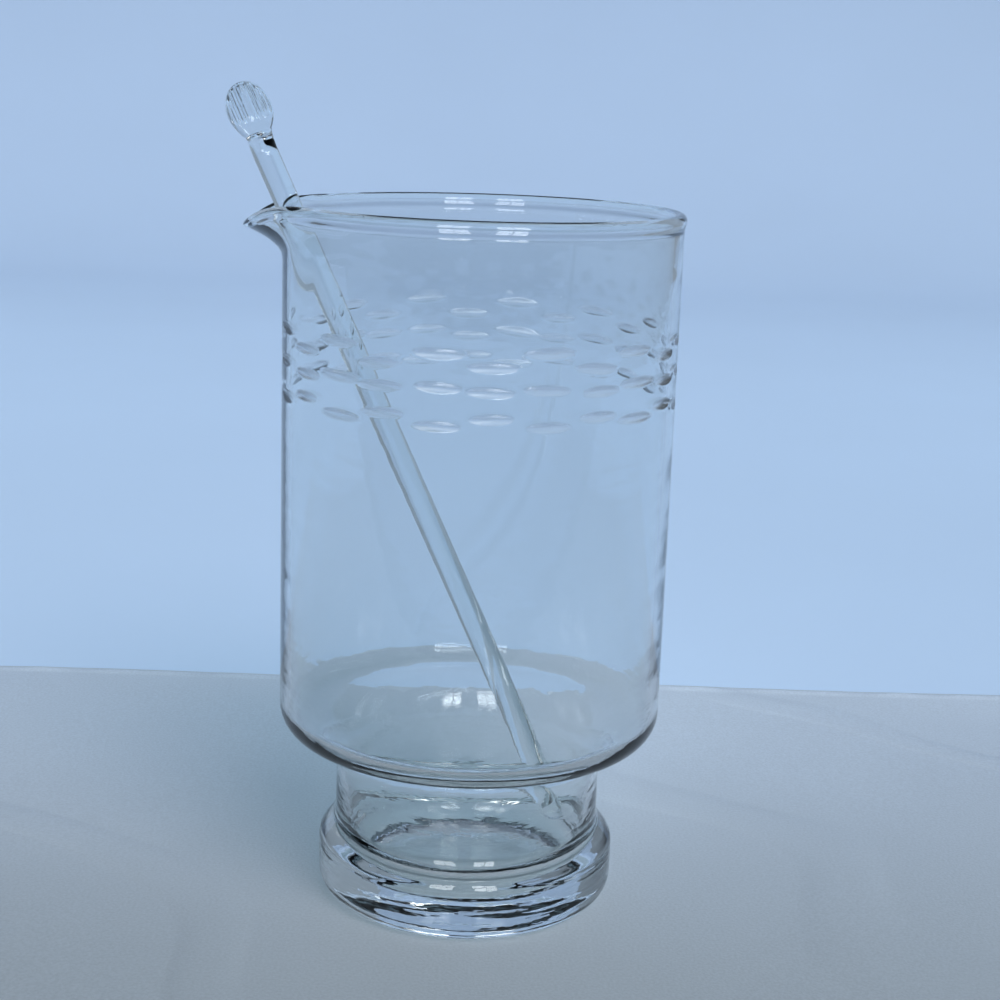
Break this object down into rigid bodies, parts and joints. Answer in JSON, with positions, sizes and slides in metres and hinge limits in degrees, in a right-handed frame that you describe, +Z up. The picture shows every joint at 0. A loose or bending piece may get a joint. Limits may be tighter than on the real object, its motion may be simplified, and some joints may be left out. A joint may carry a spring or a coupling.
{
  "type": "cocktail pitcher",
  "caption": "Clear glass cocktail pitcher with a drawn pouring lip, a band of cut grains, a waisted foot and a glass stirring rod that lifts out.",
  "frame": {"origin": "centre of the foot's standing ring, on the table", "axes": "+Z up along the pitcher's axis, -X towards the pouring lip, +Y to the right of the lip seen from the body"},
  "size_m": [0.1284, 0.1132, 0.2352],
  "materials": {
    "vessel_glass": "clear polished soda-lime glass with satin wheel cuts",
    "rod_glass": "clear fire-polished glass rod"
  },
  "bodies": {
    "pitcher": {"pitcher_vessel": "vessel_glass"},
    "stirrer": {"stirring_rod": "rod_glass"}
  },
  "joints": [
    {"name": "stirrer_lift", "type": "slide", "parent": "pitcher", "child": "stirrer", "axis": [-0.4082, -0.0723, 0.91], "range_m": [0, 0.26]}
  ]
}
